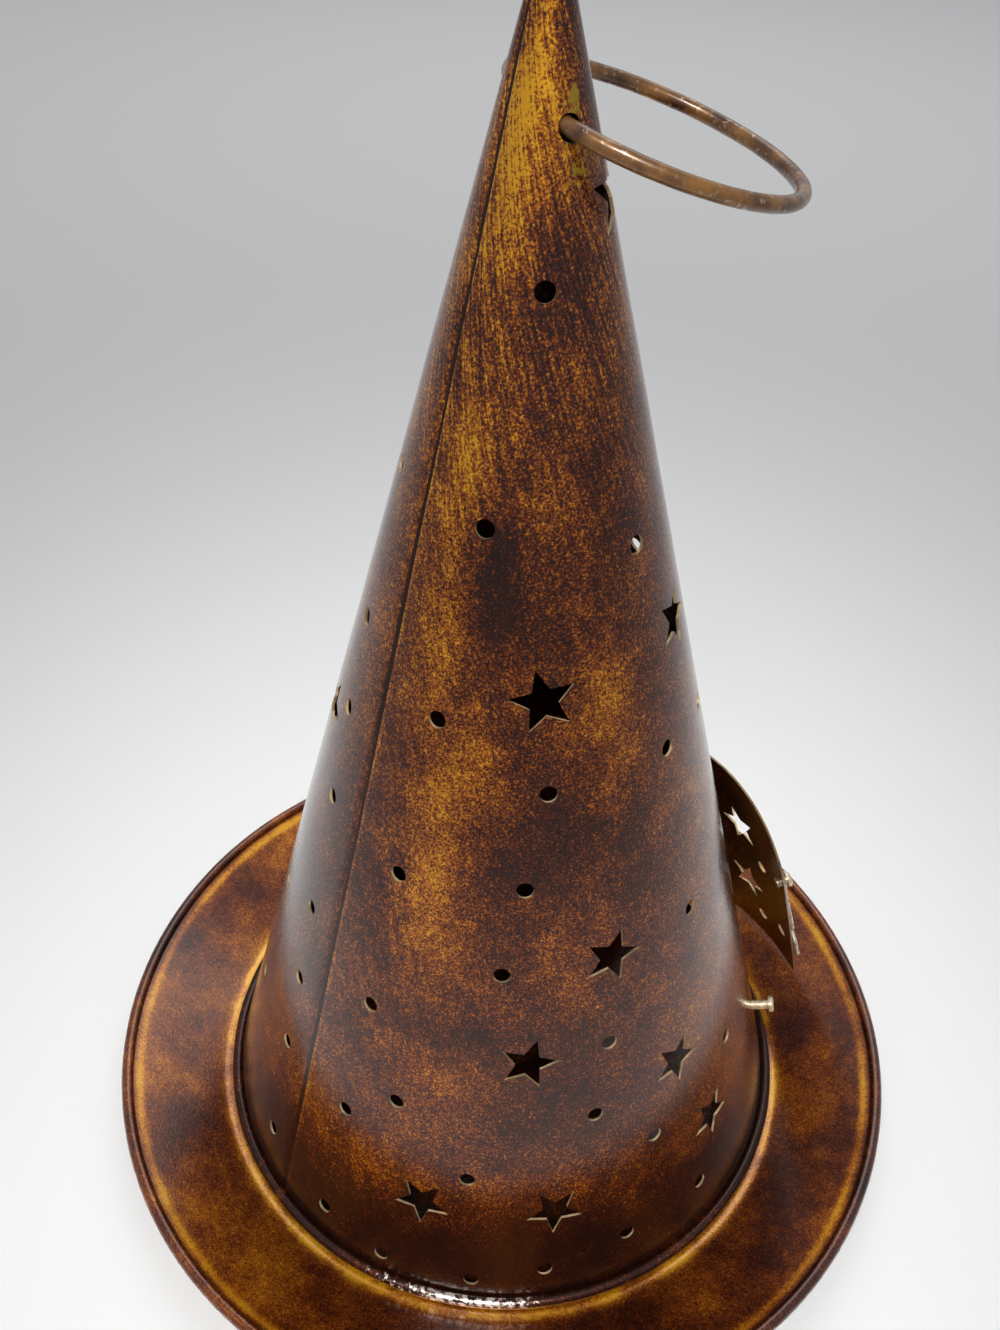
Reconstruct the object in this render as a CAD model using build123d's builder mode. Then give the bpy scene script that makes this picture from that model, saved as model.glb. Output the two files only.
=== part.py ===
from build123d import *
import os
from math import asin, atan2, cos, degrees, hypot, pi, radians, sin, sqrt

# A punched tin candle lantern shaped like a tall pointed hat. Lengths are millimetres and angles degrees.
# The origin is the middle of the flat underside, +Z is up and the door faces -Y. An azimuth is counted
# from -Y towards +X, so it grows to the right for someone who faces the wall from outside.

os.makedirs("parts", exist_ok=True)

# Sheet, fits and clearances
sheet = 0.7
pin_play = 0.05
rivet_play = 0.05
loose_gap = 0.4

# Brim pan with its rolled rim
floor_r = 94.5
brim_r = 127.0
rim_z = 14.0
rim_wire_r = 1.15
floor_bend_r = 5.0

# Cone, from the hem curled round its foot to the soldered tip
foot_r = 90.3
cone_h = 342.0
hem_r = 1.8
tip_r = 2.6
solder_depth = 4.0
seam_azimuth = -175.0
wall_bands = 16
wall_hollow = 0.05
lap_w = 8.0
lap_ends = 12.0
groove_w = 0.4
groove_d = 0.3

# Candle cup soldered to the floor
cup_r = 21.7
cup_h = 16.0

# Punched dots and stars: heights in hundredths of the cone's height, azimuths, and a star's clockwise lean.
# The door's own marks have their heights in millimetres above the cone's foot.
dot_r = 2.2
star_tip_r = 8.3
star_waist_r = 3.6
star_tips = 5
dot_rows = (
    (80.7, (-123,)),
    (67.3, (-207,)),
    (66.8, (-145,)),
    (64.6, (-78,)),
    (56.1, (-199,)),
    (53.2, (-154,)),
    (48.8, (-195, -118, -75)),
    (48.0, (-46,)),
    (41.2, (-191, -124)),
    (40.1, (-159,)),
    (33.9, (-129, -74)),
    (30.4, (-188,)),
    (27.5, (-161,)),
    (26.3, (-209, -103)),
    (23.1, (-186,)),
    (19.6, (-151, -107)),
    (17.0, (-66,)),
    (15.8, (-185, -163)),
    (14.6, (-208, -93)),
    (13.7, (-134,)),
    (5.3, (-183, -101, -82)),
    (3.8, (-164, -118)),
    (2.6, (-150, -132)),
)
stars = (
    (57.3, -58, 25),
    (55.6, -120, -13),
    (34.2, -101, 22),
    (25.7, -122, 15),
    (20.8, -85, 33),
    (11.4, -76, 38),
    (10.2, -143, 34),
    (10.2, -116, 40),
)
pattern_turns = (0, 172)
lone_dots = ((55.6, 3),)
lone_stars = ((84.8, -45, 8), (46.2, -210, 10))
door_zone = 56.0
door_dots = ((53, -25), (20, -21), (26, -30), (64, 20), (26, 8), (34, 25))
door_stars = ((65, -17, 20), (35, -17, -12), (48, 10, 6))

# Carrying ring, in two holes given by azimuth and depth below the cone's virtual apex
ring_r = 32.3
ring_wire_r = 1.75
ring_holes = ((-100.0, 38.1), (92.5, 35.0))
ring_drop = 15.4
ring_hole_r = 2.45

# Door, hinged on the right and standing ajar
door_half_w = 48.5
door_low = 8.0
door_side_h = 60.0
door_arch_h = 25.0
door_lap = 3.0
door_corner_r = 2.5
door_open = 12.0

# Hinges
hinge_reach = 3.0
hinge_heights = (22.0, 58.0)
barrel_r = 2.0
hinge_pin_r = 1.0
pin_head_r = 1.7
pin_head_h = 0.7
cone_knuckle = 4.2
door_knuckle = 4.6
cone_leaf_w = 11.0
door_leaf_w = 18.0

# Rivets of the hinge leaves
rivet_r = 1.0
rivet_head_r = 1.9
rivet_head_h = 0.9
rivet_tail_r = 1.6
rivet_tail_h = 0.5
rivet_spread = 4.2
rivet_edge = 3.5

# Latch: a wire hook on a stud of the door, and a headed peg on the cone
stud_height = 58.0
stud_in = 6.5
stud_r = 1.3
stud_head_r = 2.7
stud_head_h = 1.6
stud_tail_r = 1.8
hook_wire_r = 0.8
hook_notch = 4.0
hook_tail = 6.0
hook_bend_r = 1.6
hook_rest = 6.0
peg_height = 32.0
peg_out = 7.9
peg_r = 1.5
peg_len = 7.0
peg_head_r = 2.6
peg_head_h = 1.6

# What follows from the sizes above
foot_z = sheet
apex_z = foot_z + cone_h
half_angle = atan2(foot_r, cone_h)
slant = hypot(foot_r, cone_h)
door_spring_z = door_low + door_side_h
door_top_z = door_spring_z + door_arch_h
door_face = loose_gap + sheet
leaf_face = door_face + sheet
hinge_lift = barrel_r + loose_gap
barrel_gap = barrel_r + loose_gap
hinge_len = door_knuckle + 2 * cone_knuckle + 2 * loose_gap
cone_knuckle_offset = (door_knuckle + cone_knuckle) / 2 + loose_gap
punch_depth = 4 * sheet


def wall_r(z, lift=0.0):
    """Radius of the cone's outer face at height z, or of a face that lies lift outside it."""
    return (apex_z - z) * foot_r / cone_h + lift / cos(half_angle)


def wall_plane(azimuth, z, lift=0.0):
    """Plane on the cone: x runs round it, y up the wall and z outwards."""
    a = radians(azimuth)
    out = Vector(sin(a), -cos(a), 0)
    normal = out * cos(half_angle) + Vector(0, 0, sin(half_angle))
    point = out * wall_r(z) + Vector(0, 0, z) + normal * lift
    return Plane(origin=point, x_dir=Vector(cos(a), sin(a), 0), z_dir=normal)


def front_azimuth(x, z):
    """Azimuth of the point at x and z on the front of the cone."""
    return degrees(asin(x / wall_r(z)))


def cone_layer(inner, outer, low, high):
    """Thin cone between two lifts from the outer face and between two heights."""
    with BuildPart() as layer:
        with BuildSketch(Plane.XZ):
            Polygon(
                (wall_r(low, inner), low),
                (wall_r(low, outer), low),
                (wall_r(high, outer), high),
                (wall_r(high, inner), high),
            )
        revolve(axis=Axis.Z)
    return layer.part


def door_outline(margin):
    """The arched door seen from the front, drawn in by a margin all round."""
    half = door_half_w - margin
    low = door_low + margin
    with BuildSketch(Plane.XZ) as outline:
        with BuildLine():
            Polyline((half, door_spring_z), (half, low), (-half, low), (-half, door_spring_z))
            EllipticalCenterArc((0, door_spring_z), half, door_arch_h - margin, start_angle=0, arc_size=180)
        make_face()
        corners = outline.vertices().group_by(Axis.Z)[0]
        fillet(corners, door_corner_r)
    return outline.sketch


def star_shape():
    """Five-pointed star with one tip up."""
    points = []
    for k in range(2 * star_tips):
        radius = star_waist_r if k % 2 else star_tip_r
        turn = pi * k / star_tips
        points.append((radius * sin(turn), radius * cos(turn)))
    with BuildSketch() as shape:
        Polygon(*points)
    return shape.sketch


def clear_of_door(height, azimuth):
    """True where a punched mark misses the door, its hinges and its latch."""
    turn = (azimuth + 180) % 360 - 180
    return abs(turn) > door_zone or height > door_top_z + star_tip_r


def star_plane(height, azimuth, lean):
    return wall_plane(azimuth, foot_z + height).rotated((0, 0, -lean))


# The punched pattern comes round twice and leaves the door's surroundings free; lone marks come once
dots = [(cone_h * share / 100, azimuth) for share, azimuths in dot_rows for azimuth in azimuths]
dot_planes = [
    wall_plane(azimuth + turn, foot_z + height)
    for height, azimuth in dots
    for turn in pattern_turns
    if clear_of_door(height, azimuth + turn)
]
dot_planes += [wall_plane(azimuth, foot_z + cone_h * share / 100) for share, azimuth in lone_dots]
star_planes = [
    star_plane(cone_h * share / 100, azimuth + turn, lean)
    for share, azimuth, lean in stars
    for turn in pattern_turns
    if clear_of_door(cone_h * share / 100, azimuth + turn)
]
star_planes += [star_plane(cone_h * share / 100, azimuth, lean) for share, azimuth, lean in lone_stars]

# Hinge line: a straight line beside the door, lifted off the cone by the barrel
hinge_x = door_half_w + hinge_reach
hinge_points = [
    wall_plane(front_azimuth(hinge_x, z), z, hinge_lift).origin for z in hinge_heights
]
hinge_dir = (hinge_points[1] - hinge_points[0]).normalized()
hinge_axis = Axis(hinge_points[0], hinge_dir)


def hinge_azimuth(point):
    return degrees(atan2(point.X, -point.Y))


def barrel_plane(point):
    """Plane across the hinge line: x runs away from the door, z up the line."""
    outward = wall_plane(hinge_azimuth(point), point.Z).z_dir
    return Plane(origin=point, x_dir=hinge_dir.cross(outward), z_dir=hinge_dir)


def leaf_plane(point):
    """Plane over the leaves: x runs away from the door, y up the hinge line."""
    across = barrel_plane(point).x_dir
    return Plane(origin=point, x_dir=across, z_dir=across.cross(hinge_dir))


def rivet_planes(point, side, leaf_w):
    """Planes on the cone where a leaf's two rivets stand; side is 1 on the cone and -1 on the door."""
    run = side * (leaf_w - rivet_edge)
    azimuth = hinge_azimuth(point) + degrees(run / wall_r(point.Z))
    return [wall_plane(azimuth, point.Z + up * rivet_spread) for up in (1, -1)]


def hinge_leaf(point, side, leaf_w, inner, knuckles):
    """Leaf that follows the cone, with its knuckles round the pin; knuckles are (offset, length) pairs."""
    length = hinge_len / 2
    with BuildPart() as leaf:
        add(cone_layer(inner, inner + sheet, foot_z, door_top_z))
        with BuildSketch(leaf_plane(point)):
            with Locations((side * (barrel_gap + leaf_w) / 2, 0)):
                Rectangle(leaf_w - barrel_gap, hinge_len)
            for offset_up, span in knuckles:
                with Locations((side * barrel_gap / 2, offset_up)):
                    Rectangle(barrel_gap, span)
        extrude(amount=2 * barrel_r + sheet, both=True, mode=Mode.INTERSECT)
        for offset_up, span in knuckles:
            with BuildSketch(barrel_plane(point).offset(offset_up - span / 2)):
                Circle(barrel_r)
            extrude(amount=span)
        with BuildSketch(barrel_plane(point)):
            Circle(hinge_pin_r + pin_play)
        extrude(amount=length + sheet, both=True, mode=Mode.SUBTRACT)
        with BuildSketch(*rivet_planes(point, side, leaf_w)):
            Circle(rivet_r + rivet_play)
        extrude(amount=punch_depth, both=True, mode=Mode.SUBTRACT)
    return leaf.part


def rivet(plane, inner, outer):
    """Domed rivet that grips from the lift inner to the lift outer."""
    with BuildPart() as shape:
        with BuildSketch(plane.offset(inner - rivet_tail_h)):
            Circle(rivet_tail_r)
        extrude(amount=rivet_tail_h - rivet_play)
        with BuildSketch(plane.offset(inner - rivet_tail_h)):
            Circle(rivet_r)
        extrude(amount=outer - inner + rivet_tail_h + rivet_head_h)
        with BuildSketch(plane.offset(outer + rivet_play)):
            Circle(rivet_head_r)
        extrude(amount=rivet_head_h)
        rim = shape.edges().filter_by(GeomType.CIRCLE).sort_by(plane_axis(plane))[-1]
        fillet(rim, rivet_head_h * 0.8)
    return shape.part


def plane_axis(plane):
    return Axis(plane.origin, plane.z_dir)


def swung(closed):
    """A piece of the door, modelled shut, turned to where the door stands ajar."""
    return closed.rotate(hinge_axis, door_open)


# Brim pan: flat floor and a brim that rises to the rim rolled over its wire
rim_bore_r = rim_wire_r + rivet_play
rim_roll_r = rim_bore_r + sheet
rim_r = brim_r - rim_roll_r
rise = atan2(rim_z, rim_r - floor_r)
across = (sheet * sin(rise), sheet * cos(rise))
with BuildPart() as brim_pan:
    with BuildSketch(Plane.XZ) as pan_profile:
        with BuildLine():
            Polyline(
                (0, 0),
                (floor_r, 0),
                (rim_r + across[0] / 2, rim_z - across[1] / 2),
                (rim_r - across[0] / 2, rim_z + across[1] / 2),
                (floor_r + (across[1] - sheet) / across[0] * sheet, sheet),
                (0, sheet),
                close=True,
            )
        make_face()
        bends = pan_profile.vertices().filter_by(lambda v: abs(v.X - floor_r) < 2 * sheet).sort_by(Axis.Z)
        fillet(bends[0], floor_bend_r + sheet)
        fillet(bends[-1], floor_bend_r)
        with Locations((rim_r, rim_z)):
            Circle(rim_roll_r)
            Circle(rim_bore_r, mode=Mode.SUBTRACT)
    revolve(axis=Axis.Z)
brim_pan.part.label = "brim_pan"
export_step(brim_pan.part, "parts/brim_pan.step")

# Wire inside the rolled rim
with BuildPart(Plane.XY.offset(rim_z)) as rim_wire:
    Torus(rim_r, rim_wire_r)
rim_wire.part.label = "rim_wire"
export_step(rim_wire.part, "parts/rim_wire.step")

# Candle cup on the middle of the floor
with BuildPart() as candle_cup:
    with BuildSketch(Plane.XY.offset(sheet)):
        Circle(cup_r)
    extrude(amount=cup_h)
    offset(amount=-sheet, openings=candle_cup.faces().sort_by(Axis.Z)[-1])
candle_cup.part.label = "candle_cup"
export_step(candle_cup.part, "parts/candle_cup.step")

# Carrying ring: its line of swing runs through both holes at the middle of the wall
near_hole, far_hole = [
    wall_plane(azimuth, apex_z - below, -sheet / 2).origin for azimuth, below in ring_holes
]
ring_mid = (near_hole + far_hole) * 0.5
ring_dir = (near_hole - far_hole).normalized()
half_chord = (near_hole - far_hole).length / 2
ring_level = Vector(0, 0, 1).cross(ring_dir).normalized()
ring_down = ring_level.cross(ring_dir).normalized()
ring_side = ring_level * cos(radians(ring_drop)) + ring_down * sin(radians(ring_drop))
ring_centre = ring_mid + ring_side * sqrt(ring_r**2 - half_chord**2)
with BuildPart(Plane(origin=ring_centre, x_dir=ring_dir, z_dir=ring_dir.cross(ring_side))) as carrying_ring:
    Torus(ring_r, ring_wire_r)
carrying_ring.part.label = "carrying_ring"
export_step(carrying_ring.part, "parts/carrying_ring.step")

# Where the latch sits
stud_x = -(door_half_w - stud_in)
stud_z = foot_z + stud_height
stud_plane = wall_plane(front_azimuth(stud_x, stud_z), stud_z)
peg_z = foot_z + peg_height
peg_azimuth = front_azimuth(-door_half_w, peg_z) - degrees(peg_out / wall_r(peg_z))
peg_plane = wall_plane(peg_azimuth, peg_z)

# Cone: rolled sheet with a lap inside its seam, a curled hem at the foot and a soldered tip
tip_z = apex_z - tip_r * cone_h / foot_r
hem_z = foot_z + hem_r
hem_centre_r = wall_r(hem_z, -sheet) + hem_r
solder_z = tip_z - solder_depth
seam_plane = wall_plane(seam_azimuth, foot_z + cone_h / 2)
with BuildPart() as seam_lap:
    add(cone_layer(-2 * sheet, -sheet / 2, foot_z + lap_ends, solder_z - lap_ends))
    with BuildSketch(seam_plane):
        with Locations((lap_w / 2, 0)):
            Rectangle(lap_w, slant)
    extrude(amount=lap_w, both=True, mode=Mode.INTERSECT)

wall_run = solder_z - hem_z
band_z = [hem_z + wall_run * k / wall_bands for k in range(wall_bands + 1)]
dips = [wall_hollow * sin(pi * k / wall_bands) for k in range(wall_bands + 1)]
with BuildPart() as cone_shell:
    with BuildSketch(Plane.XZ):
        with BuildLine():
            ThreePointArc(
                (tip_r, tip_z),
                (tip_r * cos(pi / 4), tip_z + tip_r * sin(pi / 4)),
                (0, tip_z + tip_r),
            )
            Polyline(
                (0, tip_z + tip_r),
                (0, solder_z),
                *[(wall_r(z, -dip - sheet), z) for z, dip in zip(reversed(band_z), reversed(dips))],
                *[(wall_r(z, -dip), z) for z, dip in zip(band_z, dips)],
                (tip_r, tip_z),
            )
        make_face()
        with Locations((hem_centre_r, hem_z)):
            Circle(hem_r)
            Circle(hem_r - sheet, mode=Mode.SUBTRACT)
    revolve(axis=Axis.Z, clean=False)
    add(seam_lap.part, clean=False)
    with BuildSketch(seam_plane):
        Rectangle(groove_w, slant - 2 * lap_ends)
    extrude(amount=groove_d, both=True, clean=False, mode=Mode.SUBTRACT)
    extrude(door_outline(door_lap), amount=brim_r, clean=False, mode=Mode.SUBTRACT)
    with BuildSketch(*dot_planes):
        Circle(dot_r)
    with BuildSketch(*star_planes):
        add(star_shape())
    for point in hinge_points:
        with BuildSketch(*rivet_planes(point, 1, cone_leaf_w)):
            Circle(rivet_r + rivet_play)
    with BuildSketch(peg_plane):
        Circle(peg_r + rivet_play)
    extrude(amount=punch_depth, both=True, clean=False, mode=Mode.SUBTRACT)
    with BuildSketch(Plane(origin=ring_mid, z_dir=ring_dir)):
        Circle(ring_hole_r)
    extrude(amount=2 * half_chord, both=True, clean=False, mode=Mode.SUBTRACT)
cone_shell.part.label = "cone_shell"
export_step(cone_shell.part, "parts/cone_shell.step")

# Door panel: lies over the edge of its opening, just clear of the cone
with BuildPart() as shut_door:
    add(cone_layer(loose_gap, door_face, foot_z, door_top_z + door_lap))
    extrude(door_outline(0), amount=brim_r, mode=Mode.INTERSECT)
    with BuildSketch(*[wall_plane(azimuth, foot_z + height) for height, azimuth in door_dots]):
        Circle(dot_r)
    with BuildSketch(*[star_plane(height, azimuth, lean) for height, azimuth, lean in door_stars]):
        add(star_shape())
    for point in hinge_points:
        with BuildSketch(*rivet_planes(point, -1, door_leaf_w)):
            Circle(rivet_r + rivet_play)
    with BuildSketch(stud_plane):
        Circle(stud_r + rivet_play)
    extrude(amount=punch_depth, both=True, clean=False, mode=Mode.SUBTRACT)
with BuildPart() as door_panel:
    add(swung(shut_door.part))
door_panel.part.label = "door_panel"
export_step(door_panel.part, "parts/door_panel.step")

# Two hinges: a leaf on the cone with two knuckles, a leaf on the door with one, and a headed pin
for name, point in zip(("lower", "upper"), hinge_points):
    cone_knuckles = [(up * cone_knuckle_offset, cone_knuckle) for up in (1, -1)]
    with BuildPart() as cone_leaf:
        add(hinge_leaf(point, 1, cone_leaf_w, 0, cone_knuckles))
    cone_leaf.part.label = name + "_cone_leaf"
    export_step(cone_leaf.part, "parts/" + name + "_cone_leaf.step")

    with BuildPart() as door_leaf:
        add(swung(hinge_leaf(point, -1, door_leaf_w, door_face, [(0, door_knuckle)])))
    door_leaf.part.label = name + "_door_leaf"
    export_step(door_leaf.part, "parts/" + name + "_door_leaf.step")

    pin_half = hinge_len / 2 + rivet_play
    with BuildPart(barrel_plane(point)) as hinge_pin:
        Cylinder(hinge_pin_r, 2 * (pin_half + pin_head_h))
        with Locations((0, 0, pin_half + pin_head_h / 2), (0, 0, -pin_half - pin_head_h / 2)):
            Cylinder(pin_head_r, pin_head_h)
    hinge_pin.part.label = name + "_hinge_pin"
    export_step(hinge_pin.part, "parts/" + name + "_hinge_pin.step")

# Rivets of the leaves on the cone and on the door
with BuildPart() as cone_leaf_rivets:
    for point in hinge_points:
        for plane in rivet_planes(point, 1, cone_leaf_w):
            add(rivet(plane, -sheet, sheet))
cone_leaf_rivets.part.label = "cone_leaf_rivets"
export_step(cone_leaf_rivets.part, "parts/cone_leaf_rivets.step")

with BuildPart() as door_leaf_rivets:
    for point in hinge_points:
        for plane in rivet_planes(point, -1, door_leaf_w):
            add(swung(rivet(plane, loose_gap, leaf_face)))
door_leaf_rivets.part.label = "door_leaf_rivets"
export_step(door_leaf_rivets.part, "parts/door_leaf_rivets.step")

# Stud riveted into the door near its free edge, with room under its head for the hook's eye
eye_lift = door_face + loose_gap + hook_wire_r
stud_neck = eye_lift + hook_wire_r + loose_gap
with BuildPart() as shut_stud:
    with BuildSketch(stud_plane.offset(loose_gap - rivet_tail_h)):
        Circle(stud_tail_r)
    extrude(amount=rivet_tail_h - rivet_play)
    with BuildSketch(stud_plane.offset(loose_gap - rivet_tail_h)):
        Circle(stud_r)
    extrude(amount=stud_neck - loose_gap + rivet_tail_h)
    with BuildSketch(stud_plane.offset(stud_neck)):
        Circle(stud_head_r)
    extrude(amount=stud_head_h)
    head_rim = shut_stud.edges().filter_by(GeomType.CIRCLE).sort_by(plane_axis(stud_plane))[-1]
    fillet(head_rim, stud_head_h * 0.8)
with BuildPart() as latch_stud:
    add(swung(shut_stud.part))
latch_stud.part.label = "latch_stud"
export_step(latch_stud.part, "parts/latch_stud.step")

# Wire hook: an eye on the stud, a shank, a notch for the peg and a short tail for the thumb
eye_r = stud_r + pin_play + hook_wire_r
peg_local = stud_plane.to_local_coords(peg_plane.origin)
hook_len = hypot(peg_local.X, peg_local.Y)
hook_plane = stud_plane.offset(eye_lift).rotated((0, 0, -hook_rest))
with BuildPart() as shut_hook:
    with BuildLine(hook_plane) as route:
        FilletPolyline(
            (0, -eye_r),
            (0, hook_notch - hook_len),
            (hook_notch, -hook_len),
            (0, -hook_notch - hook_len),
            (0, -hook_notch - hook_len - hook_tail),
            radius=hook_bend_r,
        )
    with BuildSketch(Plane(origin=route.line @ 0, z_dir=route.line % 0)):
        Circle(hook_wire_r)
    sweep()
    with Locations(hook_plane.location):
        Torus(eye_r, hook_wire_r)
with BuildPart() as latch_hook:
    add(swung(shut_hook.part))
latch_hook.part.label = "latch_hook"
export_step(latch_hook.part, "parts/latch_hook.step")

# Headed peg riveted into the cone beside the opening
with BuildPart() as catch_peg:
    with BuildSketch(peg_plane.offset(-sheet - rivet_tail_h)):
        Circle(peg_head_r)
    extrude(amount=rivet_tail_h - rivet_play)
    with BuildSketch(peg_plane.offset(-sheet - rivet_tail_h)):
        Circle(peg_r)
    extrude(amount=peg_len + sheet + rivet_tail_h)
    with BuildSketch(peg_plane.offset(peg_len - peg_head_h)):
        Circle(peg_head_r)
    extrude(amount=peg_head_h)
    peg_rim = catch_peg.edges().filter_by(GeomType.CIRCLE).sort_by(plane_axis(peg_plane))[-1]
    fillet(peg_rim, peg_head_h / 2)
catch_peg.part.label = "catch_peg"
export_step(catch_peg.part, "parts/catch_peg.step")
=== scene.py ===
import bmesh
import bpy
from math import atan2, cos, degrees, exp, hypot, log, pi, radians, sin, sqrt
from mathutils import Matrix, Vector, noise


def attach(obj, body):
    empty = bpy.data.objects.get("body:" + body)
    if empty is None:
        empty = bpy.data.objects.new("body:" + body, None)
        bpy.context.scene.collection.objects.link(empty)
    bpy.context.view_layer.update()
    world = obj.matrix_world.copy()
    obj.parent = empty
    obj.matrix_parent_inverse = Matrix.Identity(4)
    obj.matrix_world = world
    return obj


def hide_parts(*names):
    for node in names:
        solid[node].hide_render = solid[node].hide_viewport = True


# A punched tin lantern shaped like a tall pointed hat, in metres, in the frame of its solids.
# An azimuth is counted from -Y towards +X, so it grows to the right for someone facing the wall.
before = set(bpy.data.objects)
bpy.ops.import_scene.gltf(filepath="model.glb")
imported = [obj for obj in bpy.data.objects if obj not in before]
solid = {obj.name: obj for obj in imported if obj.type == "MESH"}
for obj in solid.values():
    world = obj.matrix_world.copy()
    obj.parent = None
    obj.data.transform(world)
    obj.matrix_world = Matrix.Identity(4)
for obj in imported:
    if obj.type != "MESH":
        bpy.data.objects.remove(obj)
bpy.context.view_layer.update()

# Studio: a plain pale table top in a pale room, with a soft lamp overhead and a broad one at the far side.
# The camera stands close behind the lantern and looks down on its seam side.
table_shape = bmesh.new()
bmesh.ops.create_grid(table_shape, x_segments=1, y_segments=1, size=5)
table_mesh = bpy.data.meshes.new("table_top")
table_shape.to_mesh(table_mesh)
table_shape.free()
table_top = bpy.data.objects.new("table_top", table_mesh)
bpy.context.scene.collection.objects.link(table_top)
table_paint = bpy.data.materials.new("table_paint")
table_paint.use_nodes = True
table_shader = table_paint.node_tree.nodes["Principled BSDF"]
table_shader.inputs["Base Color"].default_value = (0.74, 0.74, 0.73, 1)
table_shader.inputs["Roughness"].default_value = 0.8
table_mesh.materials.append(table_paint)

room = bpy.data.worlds.new("pale_room")
room.use_nodes = True
room.node_tree.nodes["Background"].inputs["Color"].default_value = (0.95, 0.96, 1.0, 1)
room.node_tree.nodes["Background"].inputs["Strength"].default_value = 0.45
bpy.context.scene.world = room
bpy.context.scene.view_settings.view_transform = "Standard"

for lamp_name, lamp_place, lamp_aim, lamp_size, lamp_spread, lamp_power in (
    ("overhead", (-0.66, 0.64, 1.45), (-0.02, 0.02, 0), 0.45, 24, 0.86),
    ("far_side", (0.85, -0.85, 1.50), (0.95, -0.5, 0), 1.2, 150, 5.5),
):
    lamp = bpy.data.lights.new(lamp_name, "AREA")
    lamp.size = lamp_size
    lamp.spread = radians(lamp_spread)
    lamp.energy = lamp_power
    lamp_stand = bpy.data.objects.new(lamp_name, lamp)
    lamp_stand.location = lamp_place
    lamp_stand.rotation_euler = (Vector(lamp_aim) - Vector(lamp_place)).to_track_quat("-Z", "Y").to_euler()
    bpy.context.scene.collection.objects.link(lamp_stand)

eye = Vector((-0.1905, 0.1500, 0.3686))
look_at = Vector((0.0031, 0.0041, 0.1685))
eye_roll = radians(1.91)
camera = bpy.data.cameras.new("photographer")
camera.sensor_width = 36
camera.lens = 32.48
camera_stand = bpy.data.objects.new("photographer", camera)
aim = (look_at - eye).to_track_quat("-Z", "Y").to_matrix().to_4x4()
camera_stand.matrix_world = Matrix.Translation(eye) @ aim @ Matrix.Rotation(eye_roll, 4, "Z")
bpy.context.scene.collection.objects.link(camera_stand)
bpy.context.scene.camera = camera_stand

# Brim: one saucer pressed from thin tin, flat in the middle, with its edge rolled over a wire.
# Brown lacquer is sponged over ochre, and rubbed back to the ochre along the cone's hem and the rim.
sheet = 0.0007
floor_r = 0.0945
brim_r = 0.127
rim_z = 0.014
rim_roll_r = 0.0019
floor_bend_r = 0.005
rim_r = brim_r - rim_roll_r
brim_rise = atan2(rim_z, rim_r - floor_r)


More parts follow.
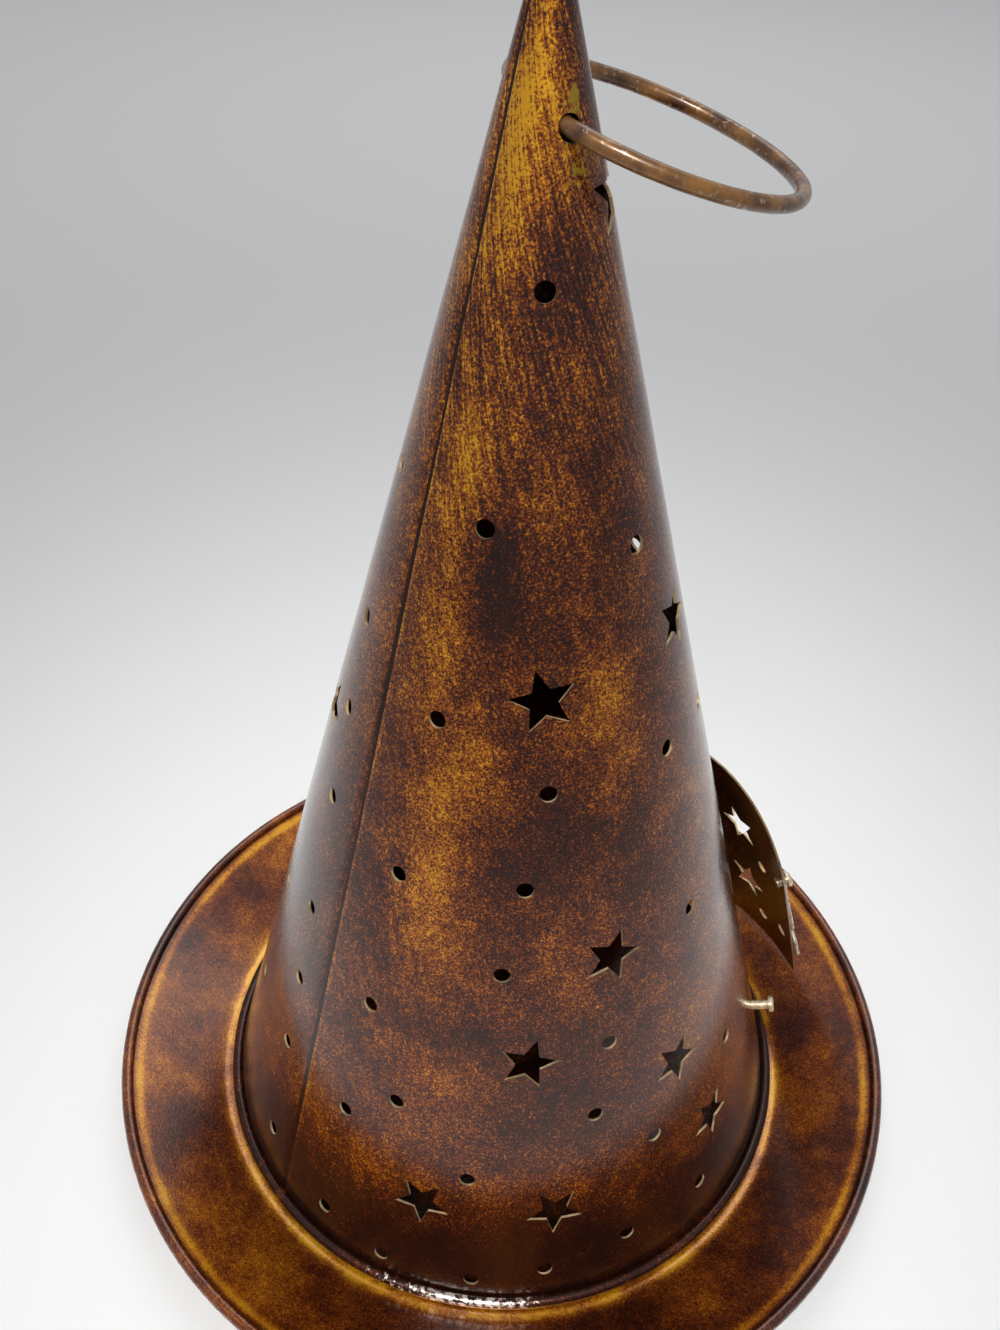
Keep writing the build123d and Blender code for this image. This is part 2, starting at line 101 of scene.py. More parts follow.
def lacquered_tin(name, warmth=0.0, speckle=1.0, coat_roughness=0.09, coat_ior=1.4, chip_and_highlight_colour=(0.33, 0.22, 0.008)):
    """Brown sponged over ochre under clear lacquer; a piece's own tint says where the ochre shows."""
    finish = bpy.data.materials.new(name)
    finish.use_nodes = True
    tree = finish.node_tree
    shader = tree.nodes["Principled BSDF"]

    def sponge(place, scale, detail):
        cloud = tree.nodes.new("ShaderNodeTexNoise")
        cloud.inputs["Scale"].default_value = scale
        cloud.inputs["Detail"].default_value = detail
        cloud.inputs["Roughness"].default_value = 0.65
        tree.links.new(place, cloud.inputs["Vector"])
        return cloud.outputs["Fac"]

    def figure(operation, *values):
        step = tree.nodes.new("ShaderNodeMath")
        step.operation = operation
        for socket, value in zip(step.inputs, values):
            if isinstance(value, float):
                socket.default_value = value
            else:
                tree.links.new(value, socket)
        return step.outputs[0]

    def added(total, cloud, weight):
        """Adds a cloud to the running total, as far as it leaves its middle value."""
        return figure("ADD", total, figure("MULTIPLY_ADD", cloud, weight, -weight / 2))

    def tint_of(attribute, socket="Fac"):
        reader = tree.nodes.new("ShaderNodeAttribute")
        reader.attribute_name = attribute
        return reader.outputs[socket]

    here = tree.nodes.new("ShaderNodeTexCoord").outputs["Object"]
    grain = sponge(here, 1800, 2)
    dabs = sponge(here, 640, 3)
    patches = sponge(here, 100, 3)
    clouds = sponge(here, 28, 2)
    bristles = sponge(tint_of("brushed", "Vector"), 430, 2)
    brushing = figure("MULTIPLY", figure("SUBTRACT", bristles, 0.5), tint_of("streaks"))
    amount = figure("ADD", figure("ADD", tint_of("gold"), warmth), brushing)
    for cloud, weight in ((grain, 2.1 * speckle), (dabs, 0.8 * speckle), (patches, 0.7), (clouds, 0.6)):
        amount = added(amount, cloud, weight)

    tone = tree.nodes.new("ShaderNodeValToRGB")
    stops = tone.color_ramp.elements
    stops[0].color = (0.020, 0.0048, 0.0015, 1)
    stops[1].color = (0.72, 0.35, 0.010, 1)
    for place, colour in (
        (0.3, (0.072, 0.0115, 0.002)), (0.55, (0.235, 0.052, 0.003)), (0.8, (0.51, 0.172, 0.006)),
    ):
        stops.new(place).color = (*colour, 1)
    tree.links.new(amount, tone.inputs["Fac"])
    # Chips show the chip colour through the lacquer. On the hem the same mix lays on a painted highlight.
    chips_and_highlight = tree.nodes.new("ShaderNodeMix")
    chips_and_highlight.data_type = "RGBA"
    chip_and_highlight_edge = tree.nodes.new("ShaderNodeMapRange")
    chip_and_highlight_edge.inputs["From Min"].default_value = 0.38
    chip_and_highlight_edge.inputs["From Max"].default_value = 0.5
    tree.links.new(added(tint_of("chips_and_highlight"), dabs, 1.2), chip_and_highlight_edge.inputs["Value"])
    tree.links.new(chip_and_highlight_edge.outputs["Result"], chips_and_highlight.inputs["Factor"])
    tree.links.new(tone.outputs["Color"], chips_and_highlight.inputs[6])
    chips_and_highlight.inputs[7].default_value = (*chip_and_highlight_colour, 1)
    tree.links.new(chips_and_highlight.outputs[2], shader.inputs["Base Color"])

    dull = tree.nodes.new("ShaderNodeMapRange")
    dull.inputs["From Min"].default_value = 0.3
    dull.inputs["From Max"].default_value = 0.7
    dull.inputs["To Min"].default_value = 0.32
    dull.inputs["To Max"].default_value = 0.5
    tree.links.new(dabs, dull.inputs["Value"])
    tree.links.new(dull.outputs["Result"], shader.inputs["Roughness"])
    shader.inputs["Metallic"].default_value = 0.75
    shader.inputs["Specular IOR Level"].default_value = 0.1
    shader.inputs["Coat Weight"].default_value = 1.0
    shader.inputs["Coat IOR"].default_value = coat_ior
    shader.inputs["Coat Roughness"].default_value = coat_roughness
    ripple = tree.nodes.new("ShaderNodeBump")
    ripple.inputs["Strength"].default_value = 0.22
    ripple.inputs["Distance"].default_value = 0.0002
    tree.links.new(added(grain, dabs, 1.0), ripple.inputs["Height"])
    tree.links.new(ripple.outputs["Normal"], shader.inputs["Normal"])
    tree.links.new(ripple.outputs["Normal"], shader.inputs["Coat Normal"])
    return finish


def smoothed(shape, crisp=35):
    """Shades a shape smooth, with edges that stay crisp past an angle."""
    for face in shape.faces:
        face.smooth = True
    for edge in shape.edges:
        edge.smooth = len(edge.link_faces) == 2 and edge.calc_face_angle(pi) < radians(crisp)


def made(name, shape, *finishes):
    """Makes a shape an object at the origin."""
    smoothed(shape)
    mesh = bpy.data.meshes.new(name)
    shape.to_mesh(mesh)
    shape.free()
    for finish in finishes:
        mesh.materials.append(finish)
    piece = bpy.data.objects.new(name, mesh)
    bpy.context.scene.collection.objects.link(piece)
    return piece


def section(shape, points):
    """A line through points of a section, ready to spin."""
    corners = [shape.verts.new(point) for point in points]
    return corners + [shape.edges.new(pair) for pair in zip(corners, corners[1:])]


def arc(middle, radius, start, end, steps):
    """Points of an arc in the XZ plane."""
    turns = [start + (end - start) * k / steps for k in range(steps + 1)]
    return [middle + Vector((cos(turn), 0, sin(turn))) * radius for turn in turns]


def spun(points, steps):
    """A section turned once round the Z axis."""
    shape = bmesh.new()
    bmesh.ops.spin(shape, geom=section(shape, points), axis=(0, 0, 1), cent=(0, 0, 0), angle=2 * pi,
                   steps=steps, use_merge=True)
    bmesh.ops.remove_doubles(shape, verts=shape.verts, dist=1e-6)
    bmesh.ops.recalc_face_normals(shape, faces=shape.faces)
    return shape


def azimuth_of(place):
    return degrees(atan2(place.x, -place.y))


brush_r = 0.06
brush_top = 0.3627
brush_lean = 1.4
brush_stretch = 0.2


def tint(piece, rule):
    """Stores at each point how gold, streaky and chipped the finish is, and how its bristle marks run."""
    places = [vertex.co for vertex in piece.data.vertices]
    values = [rule(place) for place in places]
    for k, name in enumerate(("gold", "streaks", "chips_and_highlight")):
        layer = piece.data.attributes.new(name, "FLOAT", "POINT")
        layer.data.foreach_set("value", [value[k] for value in values])
    brushed = []
    for place in places:
        turn = radians(azimuth_of(place)) - brush_lean * log(brush_top - place.z)
        brushed += [brush_r * sin(turn), -brush_r * cos(turn), brush_stretch * place.z]
    piece.data.attributes.new("brushed", "FLOAT_VECTOR", "POINT").data.foreach_set("vector", brushed)


upper_bend = Vector((floor_r - sheet, 0, sheet + floor_bend_r))
under_bend = Vector((floor_r, 0, sheet + floor_bend_r))
rim_middle = Vector((rim_r, 0, rim_z))
along_brim = Vector((cos(brim_rise), 0, sin(brim_rise)))
across_brim = Vector((-sin(brim_rise), 0, cos(brim_rise)))
brim_section = [Vector((r, 0, sheet)) for r in (0, 0.03, 0.06, 0.08, 0.09)]
bend_top = arc(upper_bend, floor_bend_r, -pi / 2, -pi / 2 + brim_rise, 6)
rim_root = rim_middle - along_brim * rim_roll_r * 0.95 + across_brim * sheet / 2
brim_rows = [0.03, 0.06, 0.1, 0.15, 0.2, 0.3, 0.4, 0.5, 0.6, 0.7, 0.78, 0.85, 0.88, 0.91, 0.94, 0.97, 1]
brim_section += bend_top + [bend_top[-1].lerp(rim_root, share) for share in brim_rows]
brim_section += arc(rim_middle, rim_roll_r, pi + brim_rise - 0.5, brim_rise - pi + 0.5, 22)
brim_section += arc(under_bend, floor_bend_r + sheet, -pi / 2 + brim_rise, -pi / 2, 4)
brim_section += [Vector((r, 0, 0)) for r in (0.08, 0.05, 0)]
brim_shape = spun(brim_section, 216)
brim_wave = 0.0003
wave_start_r = floor_r + 0.003
wave_run = 0.02
for corner in brim_shape.verts:
    reach = hypot(corner.co.x, corner.co.y) - wave_start_r
    if reach > 0:
        corner.co.z += brim_wave * min(1, reach / wave_run) * noise.noise(corner.co * 22)
brim = made("brim", brim_shape, lacquered_tin("brim_lacquer", speckle=0.5, coat_ior=1.6))


covered_r = 0.085
hem_rub_r = 0.0940
rim_rub_r = 0.1214
rim_rub_w = 0.0012
roll_start_r = 0.1230


def brim_tint(place):
    """Rubbed bright along the hem and inside the rim, blotchy between them, plain inside the cone."""
    r = hypot(place.x, place.y)
    if place.z < sheet / 2 or r < covered_r:
        return 0.25, 0, 0
    hem_rub_w = 0.0022 + 0.0016 * noise.noise(place * 30)
    hem_rub = exp(-(((r - hem_rub_r) / hem_rub_w) ** 2))
    hem_rub *= 0.45 + 0.3 * noise.noise(place * 45) + 0.3 * noise.noise(place * 140)
    rim_rub = exp(-(((r - rim_rub_r) / rim_rub_w) ** 2)) * (0.42 + 0.3 * noise.noise(place * 40))
    roll = -0.10 if r > roll_start_r else 0
    blotch = 0.22 * noise.noise(place * 20 + Vector((3, 1, 5))) + 0.14 * noise.noise(place * 60)
    return 0.43 + hem_rub + rim_rub + roll + blotch, 0, 0


tint(brim, brim_tint)
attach(brim, "lantern")
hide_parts("brim_pan")

# Rim wire: the steel wire that the brim's edge is rolled over, hidden in the roll.
# Its solid stays and takes the finish of drawn wire that is stained and worn.


def worn_metal(name, stain, bare, bare_share, roughness=0.34, spot_scale=520.0):
    """Metal under a thin brown stain that is worn through in spots."""
    finish = bpy.data.materials.new(name)
    finish.use_nodes = True
    tree = finish.node_tree
    shader = tree.nodes["Principled BSDF"]
    here = tree.nodes.new("ShaderNodeTexCoord").outputs["Object"]
    spots = tree.nodes.new("ShaderNodeTexNoise")
    spots.inputs["Scale"].default_value = spot_scale
    spots.inputs["Detail"].default_value = 5
    spots.inputs["Roughness"].default_value = 0.68
    tree.links.new(here, spots.inputs["Vector"])
    patches = tree.nodes.new("ShaderNodeTexNoise")
    patches.inputs["Scale"].default_value = spot_scale / 5
    patches.inputs["Detail"].default_value = 3
    tree.links.new(here, patches.inputs["Vector"])
    tone = tree.nodes.new("ShaderNodeValToRGB")
    tone.color_ramp.elements[0].position = 0.35
    tone.color_ramp.elements[0].color = (*stain[0], 1)
    tone.color_ramp.elements[1].position = 0.65
    tone.color_ramp.elements[1].color = (*stain[1], 1)
    tree.links.new(patches.outputs["Fac"], tone.inputs["Fac"])
    worn = tree.nodes.new("ShaderNodeMapRange")
    worn.interpolation_type = "SMOOTHSTEP"
    worn.inputs["From Min"].default_value = 0.66 - 0.3 * bare_share
    worn.inputs["From Max"].default_value = 0.76 - 0.3 * bare_share
    tree.links.new(spots.outputs["Fac"], worn.inputs["Value"])
    surface = tree.nodes.new("ShaderNodeMix")
    surface.data_type = "RGBA"
    tree.links.new(worn.outputs["Result"], surface.inputs["Factor"])
    tree.links.new(tone.outputs["Color"], surface.inputs[6])
    surface.inputs[7].default_value = (*bare, 1)
    tree.links.new(surface.outputs[2], shader.inputs["Base Color"])
    shine = tree.nodes.new("ShaderNodeMapRange")
    shine.inputs["To Min"].default_value = 0.3
    shine.inputs["To Max"].default_value = 0.8
    tree.links.new(worn.outputs["Result"], shine.inputs["Value"])
    tree.links.new(shine.outputs["Result"], shader.inputs["Metallic"])
    shader.inputs["Roughness"].default_value = roughness
    shader.inputs["Coat Weight"].default_value = 0.6
    shader.inputs["Coat Roughness"].default_value = 0.16
    pits = tree.nodes.new("ShaderNodeBump")
    pits.inputs["Strength"].default_value = 0.35
    pits.inputs["Distance"].default_value = 0.0002
    tree.links.new(spots.outputs["Fac"], pits.inputs["Height"])
    tree.links.new(pits.outputs["Normal"], shader.inputs["Normal"])
    return finish


def dress(name, finish):
    """Gives a solid that stays as it is its finish."""
    for slot in solid[name].material_slots:
        slot.material = finish


stained_wire = worn_metal("stained_wire", ((0.085, 0.022, 0.008), (0.30, 0.135, 0.035)), (0.40, 0.31, 0.24),
                          0.45)
dress("rim_wire", stained_wire)

# Cone: one tin sheet, punched flat with dots and stars, rolled up and lapped at a straight seam.
# Its foot is curled over into a bead on the brim's floor, and its tip is closed with solder.
foot_r = 0.0903
cone_h = 0.342
foot_z = sheet
apex_z = foot_z + cone_h
half_angle = atan2(foot_r, cone_h)
hem_r = 0.0018
hem_z = foot_z + hem_r
tip_r = 0.0026
tip_z = apex_z - tip_r * cone_h / foot_r
solder_z = tip_z - 0.004
seam_azimuth = -175.0
lap_angle = 6.0
lap_ramp = 0.0024
lap_sink = 0.00074
# Width of the seam's dark line, partly painted shade in the lap's gap and partly grime.
seam_shade_and_grime_w = 0.0013
wall_wave = 0.00012
dot_r = 0.0022
star_tip_r = 0.0083
star_waist_r = 0.0036
dot_rows = (
    (80.7, (-123,)), (67.3, (-207,)), (66.8, (-145,)), (64.6, (-78,)), (56.1, (-199,)), (53.2, (-154,)),
    (48.8, (-195, -118, -75)), (48.0, (-46,)), (41.2, (-191, -124)), (40.1, (-159,)), (33.9, (-129, -74)),
    (30.4, (-188,)), (27.5, (-161,)), (26.3, (-209, -103)), (23.1, (-186,)), (19.6, (-151, -107)),
    (17.0, (-66,)), (15.8, (-185, -163)), (14.6, (-208, -93)), (13.7, (-134,)), (5.3, (-183, -101, -82)),
    (3.8, (-164, -118)), (2.6, (-150, -132)),
)
stars = (
    (57.3, -58, 25), (55.6, -120, -13), (34.2, -101, 22), (25.7, -122, 15), (20.8, -85, 33),
    (11.4, -76, 38), (10.2, -143, 34), (10.2, -116, 40),
)
pattern_turns = (0, 172)
lone_dots = ((55.6, 3),)
lone_stars = ((84.8, -45, 8), (46.2, -210, 10))
door_zone = 56.0
door_half_w = 0.0485
door_low = 0.008
door_spring_z = 0.068
door_arch_h = 0.025
door_lap = 0.003
door_corner_r = 0.0025
punch_depth = 0.0028
ring_holes = ((-100.0, 0.0381), (92.5, 0.0350))
ring_hole_r = 0.00245


def wall_r(z, lift=0.0):
    """Radius of the cone's outer face at height z, or of a face that lies lift outside it."""
    return (apex_z - z) * foot_r / cone_h + lift / cos(half_angle)


def on_wall(azimuth, z, lean=0.0):
    """Place on the cone: x runs round it, y up the wall and z outwards; lean turns it clockwise."""
    a = radians(azimuth)
    out = Vector((sin(a), -cos(a), 0))
    normal = out * cos(half_angle) + Vector((0, 0, sin(half_angle)))
    round_it = Vector((cos(a), sin(a), 0))
    place = Matrix((round_it, normal.cross(round_it), normal)).transposed().to_4x4()
    place.translation = out * wall_r(z) + Vector((0, 0, z))
    return place @ Matrix.Rotation(radians(-lean), 4, "Z")


def drive(tools, outline, near, far):
    """A block with the given outline, driven from near to far."""
    base = tools.faces.new([tools.verts.new(point + near) for point in outline])
    top = bmesh.ops.extrude_face_region(tools, geom=[base])["geom"]
    bmesh.ops.translate(tools, verts=[g for g in top if isinstance(g, bmesh.types.BMVert)], vec=far - near)


def dot_punch(tools, place):
    bmesh.ops.create_cone(tools, cap_ends=True, segments=28, radius1=dot_r, radius2=dot_r,
                          depth=2 * punch_depth, matrix=place)


def star_punch(tools, place):
    """Five-pointed punch with one tip up."""
    outline = []
    for k in range(10):
        radius = star_waist_r if k % 2 else star_tip_r
        outline.append(place @ Vector((radius * sin(pi * k / 5), radius * cos(pi * k / 5), 0)))
    depth = place.to_3x3() @ Vector((0, 0, punch_depth))
    drive(tools, outline, -depth, depth)


def door_block(tools, margin):
    """The arched door seen from the front, drawn in by a margin, as a block through the front wall."""
    half = door_half_w - margin
    low = door_low + margin
    arch_h = door_arch_h - margin
    arch_steps = 36
    spring = Vector((0, 0, door_spring_z))
    outline = []
    for k in range(arch_steps + 1):
        turn = pi * k / arch_steps
        outline.append(spring + Vector((half * cos(turn), 0, arch_h * sin(turn))))
    for side, start in ((-1, pi), (1, 1.5 * pi)):
        corner = Vector((side * (half - door_corner_r), 0, low + door_corner_r))
        outline += arc(corner, door_corner_r, start, start + pi / 2, 5)
    drive(tools, outline, Vector((0, -brim_r, 0)), Vector((0, -0.02, 0)))


def pressed(piece, tools, cut_finish, operation="DIFFERENCE"):
    """Cuts tools out of a piece, or keeps only what lies in them; the cuts take the finish of a bare edge."""
    bmesh.ops.recalc_face_normals(tools, faces=tools.faces)
    punches = bpy.data.meshes.new("punches")
    tools.to_mesh(punches)
    tools.free()
    punches.materials.append(cut_finish)
    press = bpy.data.objects.new("press", punches)
    bpy.context.scene.collection.objects.link(press)
    stroke = piece.modifiers.new("stroke", "BOOLEAN")
    stroke.object = press
    stroke.operation = operation
    stroke.solver = "EXACT"
    stroke.material_mode = "TRANSFER"
    cut = bpy.data.meshes.new_from_object(piece.evaluated_get(bpy.context.evaluated_depsgraph_get()))
    piece.modifiers.clear()
    piece.data = cut
    bpy.data.objects.remove(press)


def thickened(piece):
    """Gives a rolled sheet its thickness, inwards."""
    wall = piece.modifiers.new("sheet", "SOLIDIFY")
    wall.thickness = sheet
    wall.offset = -1


def bare_cut(name, colour):
    """Bright sheared edge of the sheet with a little tarnish."""
    finish = bpy.data.materials.new(name)
    finish.use_nodes = True
    tree = finish.node_tree
    shader = tree.nodes["Principled BSDF"]
    tarnish = tree.nodes.new("ShaderNodeTexNoise")
    tarnish.inputs["Scale"].default_value = 260
    tree.links.new(tree.nodes.new("ShaderNodeTexCoord").outputs["Object"], tarnish.inputs["Vector"])
    tone = tree.nodes.new("ShaderNodeValToRGB")
    tone.color_ramp.elements[0].position = 0.35
    tone.color_ramp.elements[0].color = (*[part * 0.4 for part in colour], 1)
    tone.color_ramp.elements[1].position = 0.58
    tone.color_ramp.elements[1].color = (*colour, 1)
    tree.links.new(tarnish.outputs["Fac"], tone.inputs["Fac"])
    tree.links.new(tone.outputs["Color"], shader.inputs["Base Color"])
    shader.inputs["Metallic"].default_value = 0.5
    shader.inputs["Roughness"].default_value = 0.32
    return finish


def rolled_sheet(lift, low, high, rows, first, last, columns):
    """Outer face of a sheet rolled to the cone between two heights and two azimuths."""
    shape = bmesh.new()
    heights = [low + (high - low) * k / rows for k in range(rows + 1)]
    turn = Matrix.Rotation(radians(first), 3, "Z")
    edge = section(shape, [turn @ Vector((0, -wall_r(z, lift), z)) for z in heights])
    bmesh.ops.spin(shape, geom=edge, axis=(0, 0, 1), cent=(0, 0, 0), angle=radians(last - first),
                   steps=columns, use_merge=False)
    bmesh.ops.recalc_face_normals(shape, faces=shape.faces)
    shape.verts.index_update()
    return shape


def added_to(piece, shape):
    """Joins another shape to a finished piece."""
    whole = bmesh.new()
    whole.from_mesh(piece.data)
    extra = bpy.data.meshes.new("extra")
    shape.to_mesh(extra)
    shape.free()
    whole.from_mesh(extra)
    bpy.data.meshes.remove(extra)
    smoothed(whole)
    whole.to_mesh(piece.data)
    whole.free()


wall_rows = 110
wall_columns = 244
wall_shape = rolled_sheet(0, hem_z, tip_z, wall_rows, seam_azimuth, seam_azimuth + 360 + lap_angle,
                          wall_columns)
for corner in wall_shape.verts:
    travelled = corner.index // (wall_rows + 1) * (360 + lap_angle) / wall_columns
    under = max(0, 1 - radians(max(0, 360 - travelled)) * wall_r(corner.co.z) / lap_ramp)
    out = Vector((corner.co.x, corner.co.y, 0)).normalized()
    fade = min(1, wall_r(corner.co.z) / 0.02)
    corner.co += out * (wall_wave * fade * noise.noise(corner.co * 40) - lap_sink * under)
cone_lacquer = lacquered_tin("cone_lacquer")
bare_tin = bare_cut("bare_tin", (0.82, 0.60, 0.33))
cone = made("cone", wall_shape, cone_lacquer)
thickened(cone)


def clear_of_door(share, azimuth):
    """Whether a mark at this share of the cone's height and azimuth misses the door."""
    beside = abs((azimuth + 180) % 360 - 180) > door_zone
    return beside or cone_h * share / 100 > door_spring_z + door_arch_h + star_tip_r


def wall_z(share):
    return foot_z + cone_h * share / 100


punches = bmesh.new()
for turn in pattern_turns:
    for share, azimuths in dot_rows:
        for azimuth in azimuths:
            if clear_of_door(share, azimuth + turn):
                dot_punch(punches, on_wall(azimuth + turn, wall_z(share)))
    for share, azimuth, lean in stars:
        if clear_of_door(share, azimuth + turn):
            star_punch(punches, on_wall(azimuth + turn, wall_z(share), lean))
for share, azimuth in lone_dots:
    dot_punch(punches, on_wall(azimuth, wall_z(share)))
for share, azimuth, lean in lone_stars:
    star_punch(punches, on_wall(azimuth, wall_z(share), lean))
door_block(punches, door_lap)
near_hole, far_hole = [
    on_wall(azimuth, apex_z - below) @ Vector((0, 0, -sheet / 2)) for azimuth, below in ring_holes
]
ring_mid = (near_hole + far_hole) / 2
ring_dir = (near_hole - far_hole).normalized()
half_chord = (near_hole - far_hole).length / 2
ring_bore = Matrix.Translation(ring_mid) @ ring_dir.to_track_quat("Z", "Y").to_matrix().to_4x4()
bmesh.ops.create_cone(punches, cap_ends=True, segments=32, radius1=ring_hole_r, radius2=ring_hole_r,
                      depth=4 * half_chord, matrix=ring_bore)
pressed(cone, punches, bare_tin)
hem_middle = Vector((wall_r(hem_z, -sheet) + hem_r, 0, hem_z))
hem_shape = spun(arc(hem_middle, hem_r, 0, 2 * pi, 20), 216)
for face in hem_shape.faces:
    face.material_index = 2
for corner in hem_shape.verts:
    corner.co += corner.normal * 0.00008 * noise.noise(corner.co * 180)
added_to(cone, hem_shape)
# The hem's pale chip colour is the colour of its painted highlight.
cone.data.materials.append(lacquered_tin("hem_lacquer", coat_roughness=0.14, chip_and_highlight_colour=(0.62, 0.57, 0.50)))
solder = [Vector((0, 0, solder_z)), Vector((wall_r(solder_z) + 0.0003, 0, solder_z))]
solder += arc(Vector((0, 0, tip_z)), tip_r, 0, pi / 2, 8)
added_to(cone, spun(solder, 48))

wear_and_foot_reflection_places = (
    (-140, 0.316, 32, 0.016, 0.31), (-157, 0.298, 22, 0.018, 0.36), (-97, 0.303, 22, 0.009, 0.2),
    (-159, 0.241, 10, 0.018, 0.44), (-157, 0.201, 10, 0.018, 0.22), (-140, 0.170, 18, 0.020, 0.22),
    (-151, 0.135, 9, 0.026, 0.28), (-146, 0.118, 13, 0.012, 0.16), (-97, 0.190, 11, 0.016, 0.28),
    (-108, 0.118, 15, 0.018, 0.28), (-139, 0.078, 15, 0.012, 0.22),
    (-64, 0.319, 30, 0.015, -0.25), (-112, 0.276, 26, 0.017, -0.30), (-137, 0.214, 10, 0.020, -0.28),
    (-115, 0.157, 16, 0.013, -0.30), (-91, 0.145, 12, 0.020, -0.18), (-88, 0.160, 24, 0.070, -0.08),
    # The last spot darkens the foot at the front: a painted reflection of the dark brim.
    (-127, 0.018, 60, 0.014, -0.15),
)
# A painted highlight on the front of the hem, laid on as pale chips.
hem_highlight_places = ((-134, 0.0042, 20, 0.0024, 0.52),)
chipped_places = ((-94, 0.309, 16, 0.005, 0.52), (-96, 0.297, 16, 0.004, 0.48))


def share_of(place, spots):
    """How strongly soft spots, each given by azimuth, height, half sizes and strength, reach a place."""
    azimuth = azimuth_of(place)
    total = 0
    for spot_azimuth, height, half_turn, half_height, strength in spots:
        turn = (azimuth - spot_azimuth + 180) % 360 - 180
        total += strength * exp(-((turn / half_turn) ** 2) - ((place.z - height) / half_height) ** 2)
    return total


upper_z = 0.2
# Below this height the foot carries a painted reflection of the dark brim.
painted_brim_reflection_z = 0.040


def cone_tint(place):
    """Sponged all over and streaky near the tip and the seam. The foot is darkened by a painted reflection of
    the dark brim. The seam has a dark line of grime and painted shade, with a lighter edge of painted
    highlight and wear. The hem carries a painted highlight behind.
    """
    gold = 0.32 + 0.10 * min(max((place.z - upper_z) / 0.06, 0), 1)
    gold += share_of(place, wear_and_foot_reflection_places) + 0.2 * noise.noise(place * 14)
    # Painted reflection of the dark brim: the foot darkens towards the bottom.
    gold -= 0.33 * min(max((painted_brim_reflection_z - place.z) / 0.02, 0), 1)
    past_seam = (azimuth_of(place) - seam_azimuth + 180) % 360 - 180
    off_seam = abs(radians(past_seam)) * wall_r(place.z)
    sunk = wall_r(place.z) - hypot(place.x, place.y) > lap_sink / 4
    # A thin dark line on the sunk sheet along the seam is partly painted shade and partly grime. The top
    # sheet's edge beside it is lighter, partly a painted highlight and partly edge wear.
    if sunk and past_seam < 0.1:
        gold -= 6 * max(0, 1 - off_seam / seam_shade_and_grime_w)
    elif abs(past_seam) < 0.1:
        gold += 0.3
    streaks = 1.5 * min(max((place.z - upper_z) / 0.07, 0), 1) + 0.6 * exp(-(((past_seam - 14) / 14) ** 2))
    chip_and_highlight_share = share_of(place, chipped_places)
    # On the hem the chip colour draws a painted highlight instead of chips.
    if hypot(place.x, place.y) > wall_r(place.z) + hem_r / 2:
        chip_and_highlight_share = share_of(place, hem_highlight_places) + 0.12 * noise.noise(place * 90)
    return gold, streaks, chip_and_highlight_share


tint(cone, cone_tint)
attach(cone, "lantern")
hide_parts("cone_shell")

# Candle cup: a small drawn cup with a turned-in lip, soldered to the middle of the floor.
# It is lacquered like the rest and darkened by soot.
cup_r = 0.0217
cup_h = 0.016
cup_bend_r = 0.0015
cup_top = sheet + cup_h
cup_section = [Vector((0, 0, sheet))]
cup_section += arc(Vector((cup_r - cup_bend_r, 0, sheet + cup_bend_r)), cup_bend_r, -pi / 2, 0, 5)
cup_section += arc(Vector((cup_r - sheet / 2, 0, cup_top - sheet / 2)), sheet / 2, 0, pi, 6)
cup_section += arc(Vector((cup_r - cup_bend_r, 0, sheet + cup_bend_r)), cup_bend_r - sheet, 0, -pi / 2, 4)
cup_section.append(Vector((0, 0, 2 * sheet)))
cup = made("candle_cup", spun(cup_section, 96), lacquered_tin("cup_lacquer", warmth=0.15, coat_roughness=0.3))
tint(cup, lambda place: (0.15 + 10 * (cup_top - place.z), 0, 0))
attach(cup, "lantern")
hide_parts("candle_cup")

# Carrying ring: thick steel wire bent to a circle through two holes under the tip.
# Its brown stain is worn to gold and bare metal, and the wire is a little uneven.
ring_r = 0.0323
ring_wire_r = 0.00175
ring_drop = radians(15.4)
ring_level = Vector((0, 0, 1)).cross(ring_dir).normalized()
ring_down = ring_level.cross(ring_dir).normalized()
ring_side = ring_level * cos(ring_drop) + ring_down * sin(ring_drop)
ring_centre = ring_mid + ring_side * sqrt(ring_r**2 - half_chord**2)
ring_normal = ring_dir.cross(ring_side)
ring_shape = bmesh.new()
wire_place = Matrix((ring_dir, ring_normal, -ring_side)).transposed().to_4x4()
wire_place.translation = ring_centre + ring_dir * ring_r
wire_edge = bmesh.ops.create_circle(ring_shape, segments=20, radius=ring_wire_r, matrix=wire_place)["verts"]
bmesh.ops.spin(ring_shape, geom=wire_edge + ring_shape.edges[:], axis=ring_normal, cent=ring_centre,
               angle=2 * pi, steps=160, use_merge=True)
bmesh.ops.remove_doubles(ring_shape, verts=ring_shape.verts, dist=1e-6)
bmesh.ops.recalc_face_normals(ring_shape, faces=ring_shape.faces)
for corner in ring_shape.verts:
    corner.co += corner.normal * 0.00006 * noise.noise(corner.co * 260)
ring_stain = worn_metal("ring_stain", ((0.050, 0.015, 0.005), (0.26, 0.115, 0.022)), (0.42, 0.29, 0.18), 0.35,
                        roughness=0.36, spot_scale=700.0)
ring = made("carrying_ring", ring_shape, ring_stain)
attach(ring, "ring")
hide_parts("carrying_ring")

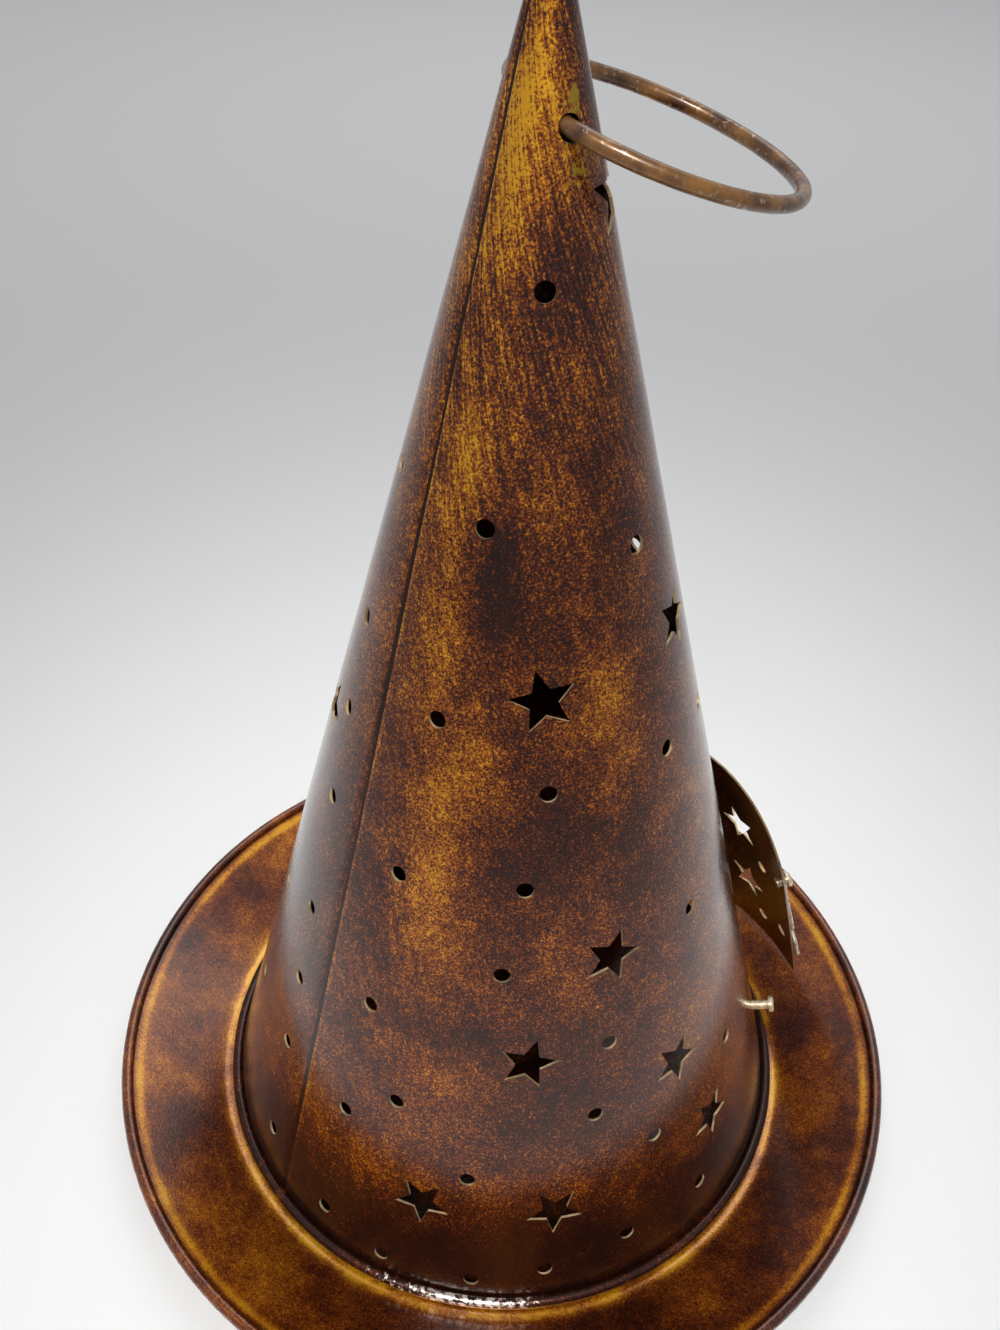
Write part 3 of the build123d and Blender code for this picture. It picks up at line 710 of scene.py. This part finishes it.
# Door: an arched panel cut from the same sheet, rolled to the cone and punched with stars and dots.
# It laps over the edge of its opening and stands ajar on its hinges.
door_lift = 0.0011
door_dots = ((53, -25), (20, -21), (26, -30), (64, 20), (26, 8), (34, 25))
door_stars = ((65, -17, 20), (35, -17, -12), (48, 10, 6))
door_open = radians(12.0)
hinge_point = Vector((0.0529113, -0.0690564, 0.0226127))
hinge_line = Vector((0.004679, 0.330544, 0.943779))
door_lacquer = lacquered_tin("door_lacquer")
stained_cut = bare_cut("stained_cut", (0.30, 0.19, 0.09))
blank_low = 0.006
blank_high = 0.097
door_blank = rolled_sheet(door_lift, blank_low, blank_high, 30, -door_zone, door_zone, 84)
door = made("door", door_blank, door_lacquer)
thickened(door)
door_cutter = bmesh.new()
door_block(door_cutter, 0)
pressed(door, door_cutter, stained_cut, "INTERSECT")
door_punches = bmesh.new()
for height, azimuth in door_dots:
    dot_punch(door_punches, on_wall(azimuth, foot_z + height / 1000))
for height, azimuth, lean in door_stars:
    star_punch(door_punches, on_wall(azimuth, foot_z + height / 1000, lean))
pressed(door, door_punches, bare_tin)
door_shape = bmesh.new()
door_shape.from_mesh(door.data)
bmesh.ops.rotate(door_shape, verts=door_shape.verts, cent=hinge_point,
                 matrix=Matrix.Rotation(door_open, 3, hinge_line))
smoothed(door_shape)
door_shape.to_mesh(door.data)
door_shape.free()


def door_tint(place):
    return 0.38 + 0.3 * noise.noise(place * 30), 0, 0


tint(door, door_tint)
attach(door, "door")
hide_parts("door_panel")

# Hinges: leaves of the same tin with rolled knuckles on short wire pins, riveted to cone and door.
# Their solids stay and take the lacquer, worn wire and aged brass.
hinge_lacquer = lacquered_tin("hinge_lacquer", warmth=0.42)
aged_brass = worn_metal("aged_brass", ((0.20, 0.12, 0.05), (0.42, 0.29, 0.13)), (0.66, 0.55, 0.36), 0.6)
for level in ("upper", "lower"):
    dress(level + "_cone_leaf", hinge_lacquer)
    dress(level + "_door_leaf", hinge_lacquer)
    dress(level + "_hinge_pin", stained_wire)
dress("cone_leaf_rivets", aged_brass)
dress("door_leaf_rivets", aged_brass)

# Latch: a bent wire hook that turns on a stud at the door's free edge, and a headed peg on the cone.
# The stud and the peg are brass, riveted over inside; the wire is bright where it is handled.
latch_wire = worn_metal("latch_wire", ((0.16, 0.10, 0.06), (0.34, 0.25, 0.17)), (0.55, 0.49, 0.41), 0.75)
pale_brass = worn_metal("pale_brass", ((0.38, 0.27, 0.13), (0.58, 0.46, 0.27)), (0.74, 0.65, 0.46), 0.7)
dress("latch_stud", pale_brass)
dress("latch_hook", latch_wire)
dress("catch_peg", pale_brass)
